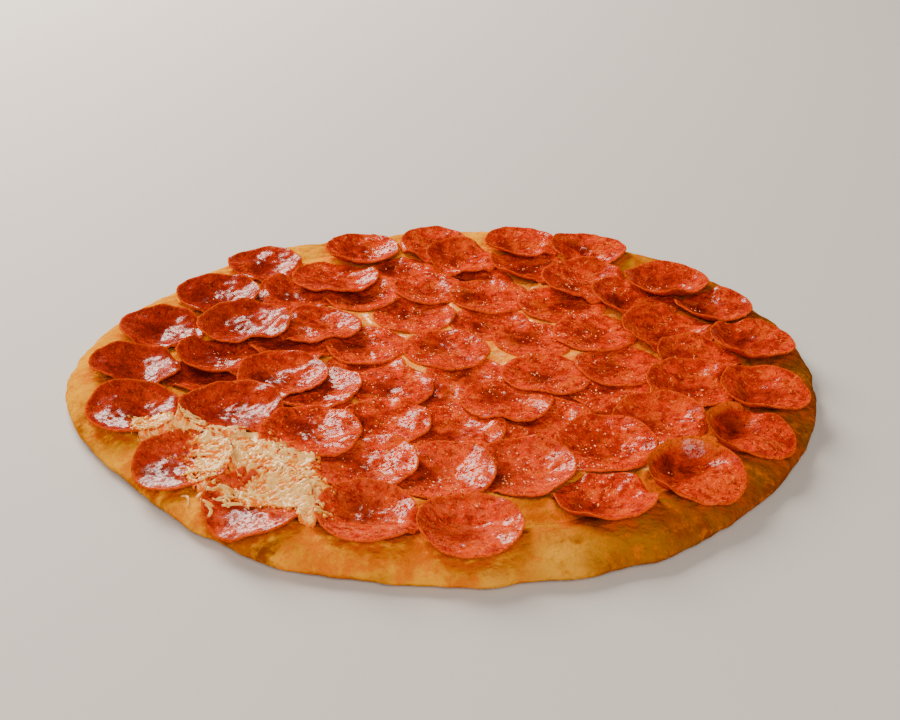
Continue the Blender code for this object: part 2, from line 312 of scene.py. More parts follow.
class Field:
    """A height for every cell of a square grid over the pizza."""

    def __init__(self, heights=None, places=None):
        self.places = np.arange(-FIELD_HALF, FIELD_HALF + CELL, CELL) if places is None else places
        count = len(self.places)
        self.heights = np.zeros((count, count)) if heights is None else heights
        self.x, self.y = np.meshgrid(self.places, self.places)

    def window(self, x, y, reach):
        """The part of the grid round a point, as a pair of index ranges."""
        first_column = int((x - reach + FIELD_HALF) / CELL)
        first_row = int((y - reach + FIELD_HALF) / CELL)
        count = int(2 * reach / CELL) + 2
        return slice(first_row, first_row + count), slice(first_column, first_column + count)

    def sample(self, x, y):
        """Height between the cells."""
        u = np.clip((np.asarray(x) + FIELD_HALF) / CELL, 0, len(self.places) - 1.001)
        v = np.clip((np.asarray(y) + FIELD_HALF) / CELL, 0, len(self.places) - 1.001)
        column, row = u.astype(int), v.astype(int)
        across, along = u - column, v - row
        h = self.heights
        low = h[row, column] * (1 - across) + h[row, column + 1] * across
        high = h[row + 1, column] * (1 - across) + h[row + 1, column + 1] * across
        return low * (1 - along) + high * along


def tree_of(obj):
    """A search tree of a solid, for rays."""
    bm = bmesh.new()
    bm.from_mesh(obj.data)
    tree = BVHTree.FromBMesh(bm)
    bm.free()
    return tree


def height_at(tree, x, y, from_below=False):
    """Height of a solid's upper or lower face, or None beside the solid."""
    start = Vector((x, y, -RAY_HEIGHT if from_below else RAY_HEIGHT))
    hit = tree.ray_cast(start, Vector((0, 0, 1 if from_below else -1)))[0]
    return hit.z if hit else None


def field_of(obj, from_below=False):
    """Heights of a solid's upper or lower face, and a mask of the cells that it covers."""
    tree = tree_of(obj)
    field = Field()
    covered = np.zeros(field.heights.shape, bool)
    reach = field.places.max()
    for row, y in enumerate(field.places):
        for column, x in enumerate(field.places):
            if x * x + y * y > reach * reach:
                continue
            height = height_at(tree, x, y, from_below)
            if height is not None:
                field.heights[row, column] = height
                covered[row, column] = True
    return field, covered


# Meshes

def add_piece(name, points, faces, attributes, material, replaced=()):
    """Make a smooth mesh piece that rides on the pizza and stands for its solids."""
    mesh = bpy.data.meshes.new(name)
    mesh.from_pydata([tuple(p) for p in points], [], faces)
    mesh.update()
    mesh.shade_smooth()
    for key, values in attributes.items():
        layer = mesh.attributes.new(key, "FLOAT", "POINT")
        layer.data.foreach_set("value", np.asarray(values, np.float32))
    obj = bpy.data.objects.new(name, mesh)
    bpy.context.scene.collection.objects.link(obj)
    mesh.materials.append(material)
    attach(obj, BODY)
    if replaced:
        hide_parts(*replaced)
    return obj


def directions(sides):
    """Even angles round a circle."""
    return np.arange(sides) / sides * math.tau


def ring_faces(first, second, sides):
    """Quads between two rings of points, by the index of each ring's first point."""
    after = [(i + 1) % sides for i in range(sides)]
    return [(first + i, first + j, second + j, second + i) for i, j in enumerate(after)]


def fan_faces(centre, ring, sides, turned=False):
    """Triangles from a middle point to a ring."""
    if turned:
        return [(centre, ring + (i + 1) % sides, ring + i) for i in range(sides)]
    return [(centre, ring + i, ring + (i + 1) % sides) for i in range(sides)]


def shell_faces(count, sides):
    """Faces of a closed shell. Its points are rings, from the top's middle round the rim to the
    underside's middle, and then the two middles."""
    last = count - 2 - sides
    faces = []
    for ring in range(0, last, sides):
        faces += ring_faces(ring + sides, ring, sides)
    faces += fan_faces(count - 2, 0, sides)
    faces += fan_faces(count - 1, last, sides, turned=True)
    return faces


# Shader helpers

def new_material(name, colour=(0.8, 0.8, 0.8), roughness=0.5):
    """A material, with its node tree and its shader."""
    material = bpy.data.materials.new(name)
    material.use_nodes = True
    tree = material.node_tree
    shader = tree.nodes["Principled BSDF"]
    shader.inputs["Base Color"].default_value = (*colour, 1.0)
    shader.inputs["Roughness"].default_value = roughness
    return material, tree, shader


def feed(tree, socket, value):
    """Join a socket to a number, a colour or another node's output."""
    if isinstance(value, bpy.types.NodeSocket):
        tree.links.new(value, socket)
    else:
        socket.default_value = (*value, 1.0) if isinstance(value, tuple) else value


def place(tree):
    """The point on the piece, in metres."""
    return tree.nodes.new("ShaderNodeTexCoord").outputs["Object"]


def attribute(tree, name):
    """A value stored on the mesh's points."""
    node = tree.nodes.new("ShaderNodeAttribute")
    node.attribute_name = name
    return node.outputs["Fac"]


def grain(tree, size, detail=3.0, roughness=0.55, distortion=0.0, kind="FBM"):
    """Noise whose largest blotches are about size across."""
    node = tree.nodes.new("ShaderNodeTexNoise")
    node.noise_type = kind
    feed(tree, node.inputs["Vector"], place(tree))
    node.inputs["Scale"].default_value = 1.0 / size
    node.inputs["Detail"].default_value = detail
    node.inputs["Roughness"].default_value = roughness
    node.inputs["Distortion"].default_value = distortion
    return node.outputs["Fac"]


def rise(tree, value, low, high, top=1.0):
    """Zero at low, growing smoothly to top at high."""
    node = tree.nodes.new("ShaderNodeMapRange")
    node.interpolation_type = "SMOOTHSTEP"
    feed(tree, node.inputs["Value"], value)
    node.inputs["From Min"].default_value = low
    node.inputs["From Max"].default_value = high
    node.inputs["To Max"].default_value = top
    return node.outputs["Result"]


def arithmetic(tree, operation, first, second):
    """One step of arithmetic."""
    node = tree.nodes.new("ShaderNodeMath")
    node.operation = operation
    feed(tree, node.inputs[0], first)
    feed(tree, node.inputs[1], second)
    return node.outputs[0]


def times(tree, first, second):
    """Two values multiplied."""
    return arithmetic(tree, "MULTIPLY", first, second)


def plus(tree, first, second):
    """Two values added."""
    return arithmetic(tree, "ADD", first, second)


def blend(tree, share, first, second):
    """Mix two colours."""
    node = tree.nodes.new("ShaderNodeMix")
    node.data_type = "RGBA"
    feed(tree, node.inputs["Factor"], share)
    feed(tree, node.inputs["A"], first)
    feed(tree, node.inputs["B"], second)
    return node.outputs["Result"]


def bump(tree, height, depth, below=None):
    """Small relief in a surface, as deep as depth."""
    node = tree.nodes.new("ShaderNodeBump")
    node.inputs["Distance"].default_value = depth
    node.inputs["Strength"].default_value = 1.0
    feed(tree, node.inputs["Height"], height)
    if below is not None:
        feed(tree, node.inputs["Normal"], below)
    return node.outputs["Normal"]


# Materials

MAROON = (0.27, 0.015, 0.003)
RED = (0.46, 0.014, 0.0)
ORANGE_RED = (0.95, 0.050, 0.0)
ORANGE = (1.0, 0.11, 0.0)
PINK_SHEEN = (0.95, 0.12, 0.03)
FAT = (1.0, 0.26, 0.05)
RIM_ORANGE = (0.80, 0.095, 0.0)
POOL_SHADE_RED = (0.15, 0.005, 0.0)
CRISP_ORANGE = (0.78, 0.12, 0.0)


def pepperoni_material():
    """Oily cured meat: mottled red with specks of fat, painted shade on the left of each hollow where some
    oil pools, darker at the right as painted shade, pink at the front partly as painted sheen, orange on
    its thin edge.
    """
    material, tree, shader = new_material("pepperoni_meat")
    rim = attribute(tree, "rim")
    tone_and_shade = attribute(tree, "tone_and_shade")
    pink_sheen = attribute(tree, "pink_sheen")
    pool_shade = attribute(tree, "pool_shade")
    dull = blend(tree, tone_and_shade, MAROON, RED)
    bright = blend(tree, tone_and_shade, RED, ORANGE_RED)
    blotches = rise(tree, grain(tree, 4.5 * MM, 3.0, 0.55, 0.4), 0.32, 0.64)
    meat = blend(tree, blotches, dull, bright)
    glowing = times(tree, tone_and_shade, rise(tree, grain(tree, 9 * MM, 3.0), 0.48, 0.66, 0.75))
    meat = blend(tree, glowing, meat, ORANGE)
    # Pinker meat on the front slices, partly painted sheen
    pink_sheens = times(tree, pink_sheen, rise(tree, grain(tree, 3.5 * MM, 3.0), 0.42, 0.62, 0.75))
    meat = blend(tree, pink_sheens, meat, PINK_SHEEN)
    # Painted shade on the left of the slice's hollow, partly pooled oil
    pool_shaded = times(tree, pool_shade, rise(tree, grain(tree, 7 * MM, 2.0), 0.15, 0.65, 0.95))
    meat = blend(tree, pool_shaded, meat, POOL_SHADE_RED)
    specks = rise(tree, grain(tree, 1.8 * MM, 3.0, 0.65, 1.0), 0.56, 0.68, 0.85)
    specks = times(tree, specks, rise(tree, pool_shade, 0.9, 0.2))
    specks = times(tree, specks, rise(tree, tone_and_shade, -0.4, 0.9))
    meat = blend(tree, specks, meat, FAT)
    patchy = rise(tree, grain(tree, 3 * MM, 2.0), 0.3, 0.6, 0.4)
    collar = times(tree, rise(tree, rim, 0.74, 0.93), patchy)
    meat = blend(tree, collar, meat, dull)
    meat = blend(tree, rise(tree, rim, 0.91, 1.02, 0.7), meat, RIM_ORANGE)
    meat = blend(tree, times(tree, attribute(tree, "crisp"), 0.85), meat, CRISP_ORANGE)
    feed(tree, shader.inputs["Base Color"], meat)
    wet = rise(tree, grain(tree, 1.5 * MM, 3.0, 0.6, 0.5), 0.44, 0.56)
    wet = plus(tree, times(tree, wet, 0.6), rise(tree, tone_and_shade, 1.0, 0.0, 0.2))
    feed(tree, shader.inputs["Coat Weight"], times(tree, wet, rise(tree, rim, 1.0, 0.93)))
    shader.inputs["Roughness"].default_value = 0.5
    shader.inputs["Specular IOR Level"].default_value = 0.0
    shader.inputs["Coat Roughness"].default_value = 0.19
    shader.inputs["Subsurface Weight"].default_value = 0.1
    shader.inputs["Subsurface Radius"].default_value = (1.0, 0.2, 0.05)
    shader.inputs["Subsurface Scale"].default_value = 2.5 * MM
    coarse = bump(tree, grain(tree, 2.6 * MM, 2.0, 0.5, 0.6), 1.7 * MM)
    creases = grain(tree, 2.4 * MM, 2.0, 0.5, 0.8, "RIDGED_MULTIFRACTAL")
    creased = bump(tree, creases, 1.6 * MM, coarse)
    fine = bump(tree, grain(tree, 0.95 * MM, 2.0, 0.6, 0.6), 0.9 * MM, creased)
    feed(tree, shader.inputs["Normal"], fine)
    return material


CREAM = (1.0, 0.57, 0.17)
BUTTER = (1.0, 0.31, 0.0)
OILY_ORANGE = (0.95, 0.20, 0.0)
BROWNED = (0.55, 0.13, 0.004)
RUN_OIL = (0.82, 0.14, 0.0)


def cheese_material():
    """Melted cheese: cream where it lies thick, yellow to orange where oil and sauce stain it."""
    material, tree, shader = new_material("melted_cheese")
    stain = attribute(tree, "stain")
    patches = rise(tree, grain(tree, 3.5 * MM, 4.0, 0.65), 0.38, 0.62)
    oily = rise(tree, plus(tree, stain, times(tree, patches, 0.6)), 0.35, 0.95)
    colour = blend(tree, oily, CREAM, BUTTER)
    very_oily = rise(tree, plus(tree, stain, times(tree, patches, 0.8)), 0.95, 1.5)
    colour = blend(tree, very_oily, colour, OILY_ORANGE)
    spots = rise(tree, grain(tree, 4 * MM, 2.0), 0.64, 0.74, 0.55)
    colour = blend(tree, spots, colour, BROWNED)
    edge = attribute(tree, "edge")
    colour = blend(tree, edge, colour, bread_colour(tree))
    streaks = rise(tree, grain(tree, 5 * MM, 3.0), 0.30, 0.55, 0.85)
    oil = times(tree, attribute(tree, "oil"), streaks)
    colour = blend(tree, oil, colour, RUN_OIL)
    feed(tree, shader.inputs["Base Color"], colour)
    shader.inputs["Roughness"].default_value = 0.45
    shader.inputs["Specular IOR Level"].default_value = 0.0
    feed(tree, shader.inputs["Coat Weight"], rise(tree, edge, 0.9, 0.1, 0.6))
    shader.inputs["Coat Roughness"].default_value = 0.15
    shader.inputs["Subsurface Weight"].default_value = 0.2
    shader.inputs["Subsurface Radius"].default_value = (1.0, 0.6, 0.25)
    shader.inputs["Subsurface Scale"].default_value = 3 * MM
    feed(tree, shader.inputs["Normal"], bump(tree, grain(tree, 2.4 * MM, 3.0), 1.6 * MM))
    return material


GOLD = (1.0, 0.41, 0.0)
AMBER = (0.75, 0.17, 0.0)
HONEY = (0.82, 0.37, 0.0)
PALE_CRUST = (0.72, 0.33, 0.018)
BROWN_CRUST = (0.28, 0.055, 0.001)
DARK_GOLD = (0.10, 0.015, 0.0)
SAUCE_STAIN = (0.52, 0.07, 0.0)


def bread_colour(tree):
    """The golden bread, toned down with painted shade on its lit left side, and darker on its right, partly
    baked and partly painted shade.
    """
    colour = blend(tree, rise(tree, grain(tree, 14 * MM, 4.0, 0.6), 0.36, 0.54), AMBER, GOLD)
    colour = blend(tree, attribute(tree, "lit_side_shade"), colour, HONEY)
    return blend(tree, times(tree, attribute(tree, "baked"), 0.85), colour, DARK_GOLD)


def crust_material():
    """Baked bread brushed with oil: golden, paler in places and toasted in spots, with painted shade at its
    base and on its sides.
    """
    material, tree, shader = new_material("baked_crust")
    toast_and_shade = attribute(tree, "toast_and_shade")
    pale = attribute(tree, "pale")
    oil = attribute(tree, "oil")
    colour = bread_colour(tree)
    freckles = rise(tree, grain(tree, 5 * MM, 4.0, 0.65), 0.50, 0.64, 0.6)
    colour = blend(tree, freckles, colour, AMBER)
    creamy = times(tree, pale, rise(tree, grain(tree, 8 * MM, 3.0), 0.3, 0.5))
    colour = blend(tree, creamy, colour, PALE_CRUST)
    stained = times(tree, oil, rise(tree, grain(tree, 5 * MM, 3.0), 0.30, 0.55, 0.85))
    colour = blend(tree, stained, colour, SAUCE_STAIN)
    # Toasted spots, and painted shade at the bread's base
    burnt_and_shaded = times(tree, toast_and_shade, rise(tree, grain(tree, 7 * MM, 4.0, 0.6), 0.32, 0.60))
    colour = blend(tree, burnt_and_shaded, colour, BROWN_CRUST)
    feed(tree, shader.inputs["Base Color"], colour)
    shader.inputs["Roughness"].default_value = 0.55
    shader.inputs["Specular IOR Level"].default_value = 0.0
    pores = bump(tree, grain(tree, 6 * MM, 4.0, 0.6), 2.6 * MM)
    feed(tree, shader.inputs["Normal"], bump(tree, grain(tree, 1.1 * MM, 2.0), 0.15 * MM, pores))
    return material


# Bread

def fine_copy(node):
    """Points, normals and faces of a solid's finer, smoothed copy."""
    bm = bmesh.new()
    bm.from_mesh(node.data)
    bmesh.ops.remove_doubles(bm, verts=bm.verts, dist=JOIN_DISTANCE)
    bmesh.ops.join_triangles(bm, faces=bm.faces, angle_face_threshold=JOIN_ANGLE,
                             angle_shape_threshold=JOIN_ANGLE)
    coarse = bpy.data.meshes.new("coarse")
    bm.to_mesh(coarse)
    bm.free()
    holder = bpy.data.objects.new("holder", coarse)
    bpy.context.scene.collection.objects.link(holder)
    subdivision = holder.modifiers.new("fine", "SUBSURF")
    subdivision.levels = CRUST_LEVELS
    subdivision.render_levels = CRUST_LEVELS
    graph = bpy.context.evaluated_depsgraph_get()
    mesh = bpy.data.meshes.new_from_object(holder.evaluated_get(graph))
    bpy.data.objects.remove(holder)
    points = np.zeros(len(mesh.vertices) * 3)
    mesh.vertices.foreach_get("co", points)
    normals = np.zeros(len(mesh.vertices) * 3)
    mesh.vertex_normals.foreach_get("vector", normals)
    faces = [tuple(polygon.vertices) for polygon in mesh.polygons]
    return points.reshape(-1, 3), normals.reshape(-1, 3), faces


def make_crust(slices, material):
    """A finer copy of the solid bread, with blisters, wrinkles and toasted spots, and painted shade at its
    base.
    """
    points, normals, faces = fine_copy(nodes["crust"])
    x, y, z = points.T
    radius = from_middle(x, y)
    bare = smooth_step(*BARE_RADII, radius) * smooth_step(*BARE_HEIGHTS, z)
    lumps = Noise(17 * MM, 1)(x, y) * 0.95 + Noise(7 * MM, 2)(x + 2 * z, y) * 0.55
    lumps += Noise(3 * MM, 3)(x, y + 2 * z) * 0.16
    puffed = PUFF_DEPTH_MM * smooth_step(*PUFF_RADII, radius) * smooth_step(*PUFF_HEIGHTS, z)
    dents = spots_share(x, y, DENTS)
    points += normals * ((bare * lumps + puffed - DENT_DEPTH_MM * dents) * MM)[:, None]
    # Browner towards the base: partly the baked underside, partly painted shade
    low = 1.0 - smooth_step(*LOW_SHADE_HEIGHTS, z)
    toast_and_shade = np.maximum(0.85 * low, spots_share(x, y, TOAST_SPOTS))
    toast_and_shade = np.clip(toast_and_shade + 0.35 * Noise(14 * MM, 5)(x, y) - 0.1 + dents, 0, 1)
    lit_side_shade, baked = side_shading(x, y)
    oil = oil_share(slices, x, y) * (1.0 - 0.7 * low)
    oil = np.maximum(oil, spots_share(x, y, OIL_SPOTS))
    pale = spots_share(x, y, CREAM_SPOTS)
    layers = {"toast_and_shade": toast_and_shade, "pale": pale, "baked": baked, "oil": oil, "lit_side_shade": lit_side_shade}
    return add_piece("crust_bread", points, faces, layers, material, ["crust"])


def side_shading(x, y):
    """Painted shade on the lit left side, and darker bread on the right side, partly baked and partly
    painted shade.
    """
    turn = np.arctan2(y - MIDDLE.y, x - MIDDLE.x)
    lit_side_shade = 0.8 * smooth_step(0.5, 0.95, 0.5 + 0.5 * np.cos(turn - LIT_SIDE))
    baked = smooth_step(0.5, 0.95, 0.5 + 0.5 * np.cos(turn - BAKED_AND_SHADED_SIDE))
    return lit_side_shade, baked


def oil_share(slices, x, y):
    """How much orange oil has run out of the slices: one at their edges, fading away from them."""
    gap = np.full(np.shape(x), 1.0)
    for laid in slices:
        gap = np.minimum(gap, np.hypot(x - laid.x, y - laid.y) - laid.radius)
    return np.exp(-np.maximum(gap, 0.0) / OIL_REACH)


def spots_share(x, y, spots, power=2):
    """One in the middle of any of the soft round spots, falling to zero outside them."""
    share = np.zeros(np.shape(x))
    for spot_x, spot_y, radius in spots:
        away = np.hypot(x - spot_x * MM, y - spot_y * MM) / (radius * MM)
        share = np.maximum(share, np.exp(-away ** power))
    return share


# Cheese

def slice_names():
    """The solid slices in the order in which they are laid."""
    return sorted(name for name in nodes if name.startswith("pepperoni_"))


def round_of(name):
    """Middle and radius of a solid slice."""
    low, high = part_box(name)
    middle = (low + high) / 2
    return middle.x, middle.y, (high.x - low.x) / 2


def sunken_cover(field):
    """Where the solid cheese has relief for the sunken slices: one inside them, zero outside."""
    cover = np.zeros(field.heights.shape)
    for x, y, radius in SUNKEN_SLICES:
        away = np.hypot(field.x - x * MM, field.y - y * MM)
        ends = (radius - SUNKEN_EDGE) * MM, (radius + SUNKEN_EDGE) * MM
        cover = np.maximum(cover, 1.0 - smooth_step(*ends, away))
    return cover


def solids_top(cheese, covers):
    """The softened upper face of the cheese and all the solid slices together."""
    top = cheese.heights * covers
    for name in slice_names():
        tree = tree_of(nodes[name])
        rows, columns = cheese.window(*round_of(name))
        for row in range(rows.start, rows.stop, 2):
            for column in range(columns.start, columns.stop, 2):
                height = height_at(tree, cheese.places[column], cheese.places[row])
                if height is not None:
                    cells = top[row:row + 2, column:column + 2]
                    np.maximum(cells, height, out=cells)
    return soft_mean(top, covers, FILL_SOFTNESS)[0]


def patch_share(x, y):
    """How much of the white cheese shows at a point: one in the middle of a bare patch."""
    return spots_share(x, y, BARE_PATCHES, 3)


def lay_cheese(cheese, covers, bread, slices):
    """The cheese's top before the slices are laid, and how far it reaches."""
    x, y = cheese.x, cheese.y
    away = from_middle(x, y)
    soft, weight = soft_mean(cheese.heights, covers, CHEESE_SOFTNESS)
    top = soft - SUNKEN_DEPTH * sunken_cover(cheese)
    fill = solids_top(cheese, covers) - FILL_DEPTH
    top += (1.0 - smooth_step(*FILL_RADII, away)) * np.maximum(fill - top, 0.0)
    for laid in slices:
        share = np.hypot(x - laid.x, y - laid.y) / laid.radius
        top -= SINK_DEPTH * np.maximum(1.0 - (share / SINK_SHARE) ** 2, 0.0)
    top += (COVERED_LUMPS + BARE_LUMPS * patch_share(x, y)) * hills(x, y, CHEESE_LUMPS) * MM
    wander = around(Noise(0.16, 14), np.arctan2(y - MIDDLE.y, x - MIDDLE.x), 2)
    thin = 1.0 - smooth_step(THIN_RADII[0], THIN_RADII[1] + THIN_WANDER * wander, away)
    thickness = np.maximum(top - bread.heights, LEAST_CHEESE)
    tapered = bread.heights + thickness * thin - EDGE_DEPTH * (1 - thin)
    outer = smooth_step(*TAPER_RADII, away)
    top = top * (1 - outer) + tapered * outer
    return Field(top), Field(weight)


def well_up(field, ground):
    """The cheese's top once it has welled up between the slices that lie on it."""
    lies_on = ground.heights > field.heights + TOUCH_HEIGHT
    brim, near = soft_mean(ground.heights, lies_on, BRIM_WIDTH)
    inner = 1.0 - smooth_step(*WELL_RADII, from_middle(field.x, field.y))
    gap = smooth_step(0.12, 0.4, blur(1.0 - lies_on, GAP_WIDTH))
    welled = np.clip(brim - BRIM_DEPTH - field.heights, 0.0, MOST_WELLING)
    top = field.heights + welled * smooth_step(0.05, 0.3, near) * inner * gap
    return Field(np.where(lies_on, np.minimum(top, ground.heights - UNDER_SLICES), top))


def cheese_edge(reach, turn):
    """How far the cheese reaches in each direction."""
    along = np.linspace(*EDGE_SEARCH, 161)
    edge = []
    for angle in turn:
        inside = reach.sample(MIDDLE.x + along * math.cos(angle), MIDDLE.y + along * math.sin(angle)) > 0.5
        edge.append(along[inside].max() + CHEESE_APRON)
    return np.array(edge)


def add_cheese(field, reach, ground, under, slices, material):
    """Make the cheese piece: rings of points over its top and then over its underside."""
    field = well_up(field, ground)
    turn = directions(CHEESE_SIDES)
    edge = cheese_edge(reach, turn)
    points = []

    def ring(share, inset, face):
        x = MIDDLE.x + edge * share * inset * np.cos(turn)
        y = MIDDLE.y + edge * share * inset * np.sin(turn)
        points.extend(zip(x, y, face.sample(x, y)))

    shares = np.linspace(0.0, 1.0, CHEESE_RINGS + 1)[1:]
    for share in shares:
        ring(share, 1.0, field)
    for share in shares[::-1][::12]:
        ring(share, UNDER_INSET, under)
    for face in (field, under):
        points.append((MIDDLE.x, MIDDLE.y, float(face.sample(MIDDLE.x, MIDDLE.y))))
    faces = shell_faces(len(points), CHEESE_SIDES)
    x, y, _ = np.array(points).T
    patches = patch_share(x, y)
    rim = smooth_step(*BREADY_RADII, from_middle(x, y)) * (1.0 - patches)
    oil = (0.4 + 0.6 * rim) * oil_share(slices, x, y) * (1.0 - patches)
    # The cheese's edge takes on the bread's colour, with its painted shade on both sides
    lit_side_shade, baked = side_shading(x, y)
    layers = {"stain": 0.62 - 0.85 * patches, "edge": rim, "oil": oil, "lit_side_shade": lit_side_shade, "baked": baked}
    add_piece("melted_cheese", points, faces, layers, material, ["cheese"])


# Slices

class Slice:
    """One round of pepperoni: where it lies and the smooth form of its upper face."""

    def __init__(self, name, x, y, radius, tree):
        self.name = name
        self.x, self.y, self.radius = x, y, radius
        angles = directions(PROBE_SIDES)
        rows = []
        for share in PROBE_SHARES:
            for angle in angles if share else angles[:1]:
                across = share * radius * math.cos(angle)
                along = share * radius * math.sin(angle)
                height = height_at(tree, x + across, y + along)
                if height is not None:
                    rows.append((across / radius, along / radius, height))
        u, v, z = np.array(rows).T
        self.terms = [(i, j) for i in range(FIT_DEGREE + 1) for j in range(FIT_DEGREE + 1 - i)]
        system = np.stack([u ** i * v ** j for i, j in self.terms], axis=1)
        self.weights = np.linalg.lstsq(system, z, rcond=None)[0]

    def form(self, across, along):
        """Height of the smooth upper face."""
        u = across / self.radius
        v = along / self.radius
        reach = np.maximum(np.hypot(u, v), 1e-6)
        inside = np.minimum(1.0, 1.0 / reach)
        u, v = u * inside, v * inside
        return sum(w * u ** i * v ** j for w, (i, j) in zip(self.weights, self.terms))


def free_share(x, y, later):
    """How free points are to curl: none where a later slice presses on them."""
    free = np.ones(np.shape(x))
    for other in later:
        depth = other.radius - np.hypot(x - other.x, y - other.y)
        free = np.minimum(free, 1.0 - smooth_step(*PRESS_DEPTHS, depth))
    return free


def drape(ground, inside):
    """The lowest smooth sheet over the ground inside a slice."""
    sheet, _ = soft_mean(ground, inside, DRAPE_WIDTH, 0.02)
    for _ in range(DRAPE_ROUNDS):
        short = np.where(inside, np.maximum(ground - sheet, 0.0), 0.0)
        sheet = sheet + 1.3 * blur(short, DRAPE_WIDTH)
    return sheet


def rim_wall(laid, sheet):
    """How high the solid's rim stands over the draped sheet in each direction, evened out."""
    turn = directions(SLICE_SIDES)
    x, y = RIM_SHARE * laid.radius * np.cos(turn), RIM_SHARE * laid.radius * np.sin(turn)
    wall = laid.form(x, y) - sheet.sample(laid.x + x, laid.y + y)
    wall = np.maximum(wall - np.quantile(wall, 0.1), 0.0)
    ends = np.concatenate([wall[-WALL_REACH:], wall, wall[:WALL_REACH]])
    window = 2 * WALL_REACH + 1
    return np.convolve(ends, np.full(window, 1 / window), mode="valid")


def lay_slice(laid, later, ground, material, number):
    """Lay a slice on all that lies below, and raise the ground to its upper face."""
    draw = np.random.default_rng(1000 + number)
    # Two of the eight are used, and the later draws depend on all of them
    oval_size, oval_turn = draw.uniform(-1, 1, 8)[:2]
    x, y, radius = laid.x, laid.y, laid.radius
    wander = Noise(0.55, 500 + number)

    def outline(angle):
        oval = OVALNESS * oval_size * np.cos(2 * angle + 3 * oval_turn)
        return SPREAD * radius * (1.0 + WOBBLE * around(wander, angle, 3) + oval)

    rows, columns = ground.window(x, y, radius * WINDOW_SHARE)
    across = ground.x[rows, columns] - x
    along = ground.y[rows, columns] - y
    angle = np.arctan2(along, across)
    share = np.hypot(across, along) / outline(angle)
    inside = share <= 1.0
    below = ground.heights[rows, columns]
    sheet = drape(below, inside)
    outer = float(max(smooth_step(*OUTER_RADII, math.hypot(x, y)), smooth_step(*OUTER_LEFT, -x)))
    step = INNER_STEP + (OUTER_STEP - INNER_STEP) * outer
    local = Field(places=ground.places)
    local.heights[rows, columns] = sheet
    wall = rim_wall(laid, local)
    tall = float(smooth_step(*TALL_WALL, wall.max()))
    free = free_share(x + across, y + along, later)
    near_rim = np.minimum(share, CURL_SHARE)
    curl = np.interp(angle % math.tau, directions(SLICE_SIDES), wall, period=math.tau)
    curl *= near_rim ** (3 + 2 * tall)
    uneven = 1.0 + 0.15 * around(wander, angle, -5)
    cup = (INNER_CUP + (OUTER_CUP - INNER_CUP) * outer) * (1.0 - 0.75 * tall)
    keep = 0.12 + 0.5 * outer + 0.6 * tall
    curl = (keep * curl + cup * uneven * near_rim ** 2.4) * (0.05 + 0.95 * free)
    lip = LIP_HEIGHT * smooth_step(0.78, 1.0, share) * (0.25 + 0.75 * free)
    lip *= 0.8 + 0.6 * around(wander, angle, 9)
    lumps = hills(across, along, (
        (0.42, 6.5 * MM, 700 + number),
        (0.45 * (1.0 - outer), 12 * MM, 600 + number),
        (0.14 + 0.12 * outer, 2.8 * MM, 800 + number),
    ))
    top = sheet + step + curl + lip + lumps * MM
    needed = np.where(inside, np.maximum(below + step - top, 0.0), 0.0)
    lift = needed
    for _ in range(LIFT_ROUNDS):
        lift = np.maximum(needed, blur(lift, LIFT_WIDTH))
    top = top + lift
    local.heights[rows, columns] = top
    ground.heights[rows, columns] = np.where(inside, np.maximum(below, top), below)
    crisp = tall * smooth_step(*CRISP_WALL, wall)
    build_slice(laid, local, outline, crisp, material, number, draw)


